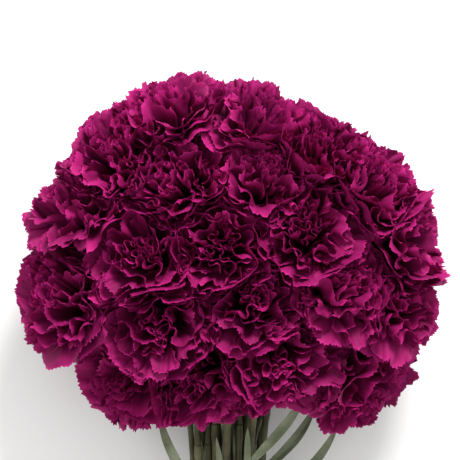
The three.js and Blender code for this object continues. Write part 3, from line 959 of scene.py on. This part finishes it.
def gathered(parts):
    """One list of corners and of face blocks from many (corners, blocks) pairs."""
    corners, blocks, count = [], [], 0
    for part_corners, part_blocks in parts:
        corners.append(part_corners)
        blocks += [block + count for block in part_blocks]
        count += len(part_corners)
    return np.concatenate(corners), blocks


def stem_piece(number):
    flower = flowers[number]
    rng = np.random.default_rng(2000 + int(number))
    tube, *sheaths = stem_parts(flower)
    parts = [skin(tube)] + [skin(sheath, looped=True) for sheath in sheaths]
    parts.append(skin(calyx_part(flower, rng)))
    for sheet in scale_sheets(flower, rng):
        corners, faces, _, _ = thin_solid(sheet, SCALE_THICKNESS)
        parts.append((corners, [faces]))
    corners, blocks = gathered(parts)
    cut_end = np.concatenate([np.full(len(block), i == 1) for i, block in enumerate(blocks)])
    shade = rng.uniform(0.35, 1.0) + 0.15 * gentle(rng, (corners[:, 1] / 500 + 0.5).clip(0, 1), 12)
    piece = mesh_piece(f"stem_and_calyx_{number}", corners, blocks, [stem_wax, cut_pith],
                       tones=shade, finish_of=cut_end)
    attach(piece, "root")
    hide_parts(f"stem_{number}")
    return len(corners)


stem_corners = 0
for number in numbers:
    stem_corners += stem_piece(number)
print(stem_corners, "corners in all the stems")

# %% [markdown]
# Leaves are narrow, keeled blades that taper to a fine point. Each packed leaf is a plain bent
# strip. A cubic curve fitted to its corners gives a middle line without a wobble.

# %% Find a leaf's middle line
MIDDLE_POINTS = 9


def middle_line(node_name):
    """The middle of a packed blade, from its root, on the bundle, to its free tip."""
    points = points_of(node_name).astype(float) * 1000
    spoke = points - points.mean(0)
    way = np.linalg.svd(spoke, full_matrices=False)[2][0]
    way = way if way[1] > 0 else -way
    place = spoke @ way
    share = (place - place.min()) / np.ptp(place)
    bend = np.polyfit(share, points, 3)
    steps = np.linspace(0, 1, MIDDLE_POINTS)[:, None]
    return sum(bend[k] * steps ** (3 - k) for k in range(4))


print("the first leaf is", round(float(through(middle_line("leaf_1"), 2)[1][-1])), "mm long")

# %% [markdown]
# A blade is a sheet along that line: its two halves fold up a little from the keel, it is widest
# some way up from its root, and a slow twist turns its tip.

# %% Draw a leaf
LEAF_THICKNESS = 0.5  # mm
KEEL_FOLD = (0.3, 0.6)  # radians by which the halves fold up
TIP_TWIST = 0.7  # radians, at most


def blade(rng, line, width, fold, twist):
    """A blade's sheet of points along a line, width in mm, and fold and twist in radians."""
    spine, where = through(line, 30)
    share = where / where[-1]
    ways = unit(np.gradient(spine, axis=0))
    flat = unit(np.cross(ways, (0, 0, 1.0)))
    upward = np.cross(flat, ways)
    angle = twist * share**2
    across = np.cos(angle)[:, None] * flat + np.sin(angle)[:, None] * upward
    normal = np.cross(across, ways)
    half = width / 2 * (0.5 + 1.9 * share) * (1 - share) ** 0.75 + 0.12
    half = half * (1 + 0.03 * gentle(rng, share, 6))
    u = np.linspace(-1, 1, 9)[None, :, None]
    lift = np.abs(u) ** 1.5 * math.tan(fold)
    return spine[:, None] + half[:, None, None] * (u * across[:, None] + lift * normal[:, None])


def leaf_piece(name, line, width, seed):
    rng = np.random.default_rng(seed)
    sheet = blade(rng, line, width, rng.uniform(*KEEL_FOLD), rng.uniform(-TIP_TWIST, TIP_TWIST))
    corners, faces, _, _ = thin_solid(sheet, LEAF_THICKNESS)
    tones = np.full(len(corners), rng.uniform(0.5, 1.0))
    piece = mesh_piece(name, corners, [faces], [leaf_wax], tones=tones)
    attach(piece, "root")
    return piece


LEAF_WIDTH = 7.5  # mm
leaf_names = [name for name in sorted(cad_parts) if name.startswith("leaf_")]
for i, name in enumerate(leaf_names):
    leaf = leaf_piece("blade_" + name[-1], middle_line(name), LEAF_WIDTH, 3000 + i)
    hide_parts(name)
print(len(leaf_names), "blades stand off the bundle")

# %% [markdown]
# Smaller leaves stay pressed to the stems that they grew on, and only their tips stand off. They
# lie on the top of the bundle between the band and the flowers. Each one follows a stem, so it is
# drawn along that stem's own middle line, moved out to its surface.

# %% Lay small leaves along the top stems
PRESSED_LEAVES = 12
PRESSED_WIDTH = 5.0  # mm
NECK_Y = 0.0  # mm, about where the bundle opens into the head
ROOT_BELOW_NECK = (10, 75)  # mm
PRESSED_LENGTH = (26, 48)
TIP_OFF, TIP_DRIFT = (0.5, 7.0), 9  # mm by which a tip stands off, and drifts sideways

rng = np.random.default_rng(4000)
at_neck = {}
for number, flower in flowers.items():
    line = flower["centres"]
    at_neck[number] = line[np.argmin(np.abs(line[:, 1] - NECK_Y))]
topmost = sorted(at_neck, key=lambda number: -at_neck[number][2])[:PRESSED_LEAVES]
for i, number in enumerate(topmost):
    line, _ = through(flowers[number]["centres"], 200)
    start = NECK_Y - rng.uniform(*ROOT_BELOW_NECK)
    length = rng.uniform(*PRESSED_LENGTH)
    part = line[(line[:, 1] > start) & (line[:, 1] < start + length)]
    share = np.linspace(0, 1, len(part))
    out = unit(np.array([rng.uniform(-0.5, 0.5), -0.1, 1.0]))
    stand_off = 2.6 + rng.uniform(*TIP_OFF) * share**2
    path = part + out * stand_off[:, None]
    path[:, 0] += rng.uniform(-TIP_DRIFT, TIP_DRIFT) * share**2
    path = path[:: max(1, len(path) // 6)]  # a few points are enough, and give a calm curve
    leaf_piece(f"pressed_leaf_{i + 1:02d}", path, PRESSED_WIDTH, 4100 + i)
print(len(topmost), "small leaves lie on the bundle")

# %% [markdown]
# A florist's band is natural rubber, cut from a dipped tube and left uncoloured, so it is tan and
# dull, with a dusting of talc in spots a couple of millimetres wide.

# %% Natural rubber
TALC_SPOT = 2.38  # mm
band_rubber, tree, shader = new_finish("tan_rubber_band")
place = node(tree, "ShaderNodeTexCoord").outputs["Object"]
talc = node(
    tree, "ShaderNodeTexNoise", {"Vector": place, "Scale": per_metre(TALC_SPOT), "Detail": 4.0}
).outputs["Fac"]
tree.links.new(blend(tree, talc, "#B98B52", "#D8B27C", (0.35, 0.65)), shader.inputs["Base Color"])
shader.inputs["Roughness"].default_value = 0.55
relief = node(tree, "ShaderNodeBump", {"Height": talc, "Strength": 0.3, "Distance": 0.0002})
tree.links.new(relief.outputs["Normal"], shader.inputs["Normal"])
print(per_metre(TALC_SPOT), "spots of talc in a metre")

# %% [markdown]
# The band goes round the bundle in three turns that lie side by side, pulled tight over the outer
# stems. In each direction the outermost stem carries it, so its line is found from the stems'
# middles where they pass through it. Each turn is a round cord, in place of one packed ring.

# %% Draw the rubber band
BAND_CORD = 0.75  # mm, a cord's radius
BAND_TURNS = 3
BAND_POINTS = 144
CORD_SIDES = 10
STEM_RADIUS = 2.5  # mm
BAND_GAP = 0.35  # mm between a stem and the band, so that a joint's swelling fits

low, high = (np.array(corner) * 1000 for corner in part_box("rubber_band"))
band_y = (low[1] + high[1]) / 2
inside = []
for flower in flowers.values():
    line, _ = through(flower["centres"], 300)
    inside.append(line[np.argmin(np.abs(line[:, 1] - band_y))])
steps = np.arange(BAND_POINTS) * 2 * math.pi / BAND_POINTS
out = np.stack([np.cos(steps), 0 * steps, np.sin(steps)], 1)
outermost = np.array(inside)[np.argmax(np.array(inside) @ out.T, axis=0)]
spin = np.arange(CORD_SIDES)[None, :, None] * 2 * math.pi / CORD_SIDES
round_cord = np.cos(spin) * out[:, None] + np.sin(spin) * np.array([0, 1.0, 0])
parts = []
for turn in range(BAND_TURNS):
    beside = (turn - (BAND_TURNS - 1) / 2) * 2 * BAND_CORD * 1.02
    line = outermost + (STEM_RADIUS + BAND_GAP + BAND_CORD) * out
    line[:, 1] = band_y + beside + 0.2 * np.sin(2 * steps + turn)
    parts.append(skin(line[:, None] + BAND_CORD * round_cord, looped=True))
corners, blocks = gathered(parts)
band = mesh_piece("rubber_band_turns", corners, blocks, [band_rubber])
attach(band, "root")
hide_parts("rubber_band")
print("the band is", round(float(np.ptp(outermost[:, 0])) + 2 * STEM_RADIUS), "mm wide inside")

# %% [markdown]
# The bunch lies on a plain white table. Only the ground that it casts its shadow on matters, so one
# large flat sheet of matt paper does.

# %% Lay the table
TABLE_HALF = 3.0  # metres from its middle to an edge, well past anything the viewer sees

table_mesh = bpy.data.meshes.new("table_top")
table_corners = [(-1, -1), (1, -1), (1, 1), (-1, 1)]
table_mesh.from_pydata(
    [(x * TABLE_HALF, y * TABLE_HALF, 0.0) for x, y in table_corners], [], [(0, 1, 2, 3)]
)
table = bpy.data.objects.new("table_top", table_mesh)
bpy.context.scene.collection.objects.link(table)
table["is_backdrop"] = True
white_paper, tree, shader = new_finish("white_matt_paper")
shader.inputs["Base Color"].default_value = colour("#FBFBFA")
shader.inputs["Roughness"].default_value = 0.8
table_mesh.materials.append(white_paper)
print("the table is", 2 * TABLE_HALF, "m wide")

# %% [markdown]
# The viewer stands over the bunch and looks straight down on its head. A long lens from high up
# keeps the near blooms from swelling, and its focal length is worked out from how wide a view is
# wanted at the height of the blooms. The camera stands a little toward the top of the head, so
# that the view is full of blooms and the stems run out of it.

# %% Place the camera over the head
lows, highs = zip(*(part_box(f"bloom_{number}") for number in numbers))
head_low = np.min([np.array(low) for low in lows], axis=0)
head_high = np.max([np.array(high) for high in highs], axis=0)
head = (head_low + head_high) / 2

CAMERA_HEIGHT = 1.6  # metres above the table
BLOOM_HEIGHT = 0.09  # where most of the petals that show are, above the table
VIEW_WIDTH = 0.301  # at that height
VIEW_SHIFT = 0.0168  # how far past the head's middle the camera stands
SENSOR_WIDTH = 36.0  # mm
eye = bpy.data.cameras.new("viewer")
eye.sensor_width = SENSOR_WIDTH
eye.lens = SENSOR_WIDTH * (CAMERA_HEIGHT - BLOOM_HEIGHT) / VIEW_WIDTH
camera = bpy.data.objects.new("viewer", eye)
bpy.context.scene.collection.objects.link(camera)
camera.location = (head[0], head[1] + VIEW_SHIFT, CAMERA_HEIGHT)
bpy.context.scene.camera = camera
head_width = round(float(head_high[0] - head_low[0]), 3)
print("the head is", head_width, "m wide and the lens", round(eye.lens), "mm long")

# %% [markdown]
# Daylight from a window would come from one side and wrap round the bunch. Here a softbox past the
# top of the head gives each fold a bright and a dark side, a large weak one at the left opens the
# shadows there, and a white room lights the rest from everywhere.

# %% Set the softboxes and the room
LIGHT_AIM = 0.08  # metres above the table


def softbox(name, place, size, power):
    """A square light that faces the head, place and size in metres and power in watts."""
    light = bpy.data.lights.new(name, "AREA")
    light.size = size
    light.energy = power
    lamp = bpy.data.objects.new(name, light)
    lamp.location = place
    target = Vector((head[0], head[1], LIGHT_AIM))
    lamp.rotation_euler = (target - Vector(place)).to_track_quat("-Z", "Y").to_euler()
    bpy.context.scene.collection.objects.link(lamp)


softbox("key", (head[0] + 0.35, head[1] + 1.2, 1.1), 0.5, 35)
softbox("side", (head[0] - 0.9, head[1] + 0.2, 1.1), 0.9, 2.5)
room = bpy.data.worlds.new("white_room")
bpy.context.scene.world = room
room.use_nodes = True
walls = room.node_tree.nodes["Background"]
walls.inputs["Color"].default_value = colour("#FFFFFF")
walls.inputs["Strength"].default_value = 0.85
bpy.context.scene.view_settings.view_transform = "Standard"
print(len(bpy.data.lights), "softboxes and a white room")

# %% Measure how far the petals reach past the packed box
shown_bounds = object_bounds()
sides = zip(packed_bounds[0], shown_bounds[0], packed_bounds[1], shown_bounds[1])
past = max(max(packed - shown, far - near) for packed, shown, near, far in sides)
print("the petals stand", round(1000 * past, 1), "mm past the packed box at most")
